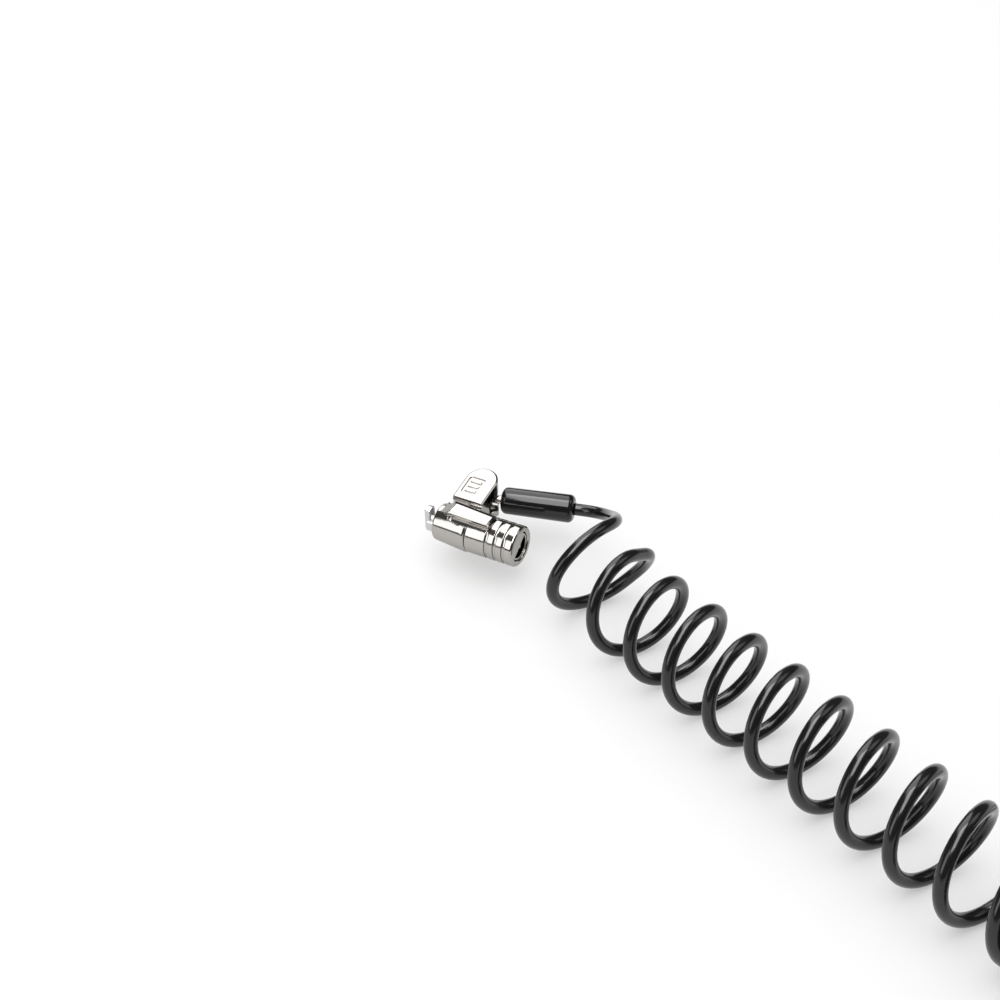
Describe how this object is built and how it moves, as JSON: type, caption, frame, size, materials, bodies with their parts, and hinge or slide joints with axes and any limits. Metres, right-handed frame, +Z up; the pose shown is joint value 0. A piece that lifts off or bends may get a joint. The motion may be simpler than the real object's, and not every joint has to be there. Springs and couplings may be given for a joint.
{
  "type": "laptop cable lock",
  "caption": "Locking head for a standard laptop security slot, with a keyed sliding barrel, a pivoting cable terminal and a coiled steel cable that ends in a crimped loop.",
  "frame": {"origin": "centre of the collar's face on the host's wall, on the lock's axis", "axes": "+X out of the host along the lock's axis, +Y towards the cable tab, +Z up; the table is at z = -0.010 m"},
  "size_m": [0.2297, 0.11, 0.0238],
  "materials": {
    "polished_nickel": "polished",
    "steel": "satin",
    "brass": "satin",
    "black_plastic": "gloss",
    "cable_jacket": "gloss",
    "black_sleeve": "matte"
  },
  "bodies": {
    "collar": {"collar": "polished_nickel", "t_bar": "steel", "retaining_dowel": "steel", "spring_seat_washer": "steel", "return_spring": "steel", "pivot_pin": "steel", "upper_pivot_washer": "steel", "lower_pivot_washer": "steel"},
    "barrel": {"barrel": "polished_nickel", "peg_carrier": "steel", "end_bezel": "polished_nickel"},
    "core": {"key_face": "polished_nickel", "disc_cage": "polished_nickel", "code_disc_1": "brass", "code_disc_2": "brass", "code_disc_3": "brass", "code_disc_4": "brass", "code_disc_5": "brass", "code_disc_6": "brass", "spacer_disc_1": "brass", "spacer_disc_2": "brass", "spacer_disc_3": "brass", "spacer_disc_4": "brass", "spacer_disc_5": "brass", "sidebar": "steel", "drive_rod": "steel", "cam_pin": "steel"},
    "terminal": {"cable_eye": "polished_nickel", "crimp_tube": "steel", "cable_end": "cable_jacket", "ferrule": "black_plastic", "cable_lead": "cable_jacket", "cable_coil": "cable_jacket", "cable_tail": "cable_jacket", "loop_sleeve": "black_sleeve", "cable_loop": "cable_jacket"}
  },
  "joints": [
    {"name": "core_turn", "type": "hinge", "parent": "barrel", "child": "core", "pos_m": [0.015, 0, 0], "axis": [-1, 0, 0], "range_deg": [0, 90]},
    {"name": "barrel_slide", "type": "slide", "parent": "collar", "child": "barrel", "axis": [1, 0, 0], "range_m": [0, 0.0025], "deforming": ["return_spring"]},
    {"name": "terminal_pivot", "type": "hinge", "parent": "collar", "child": "terminal", "pos_m": [0.0044, 0.0129, 0], "axis": [0, 0, 1], "range_deg": [-12, 73]}
  ],
  "couplings": [
    {"joint": "core_turn", "follows": "barrel_slide", "rad_per_m": 628.32}
  ]
}
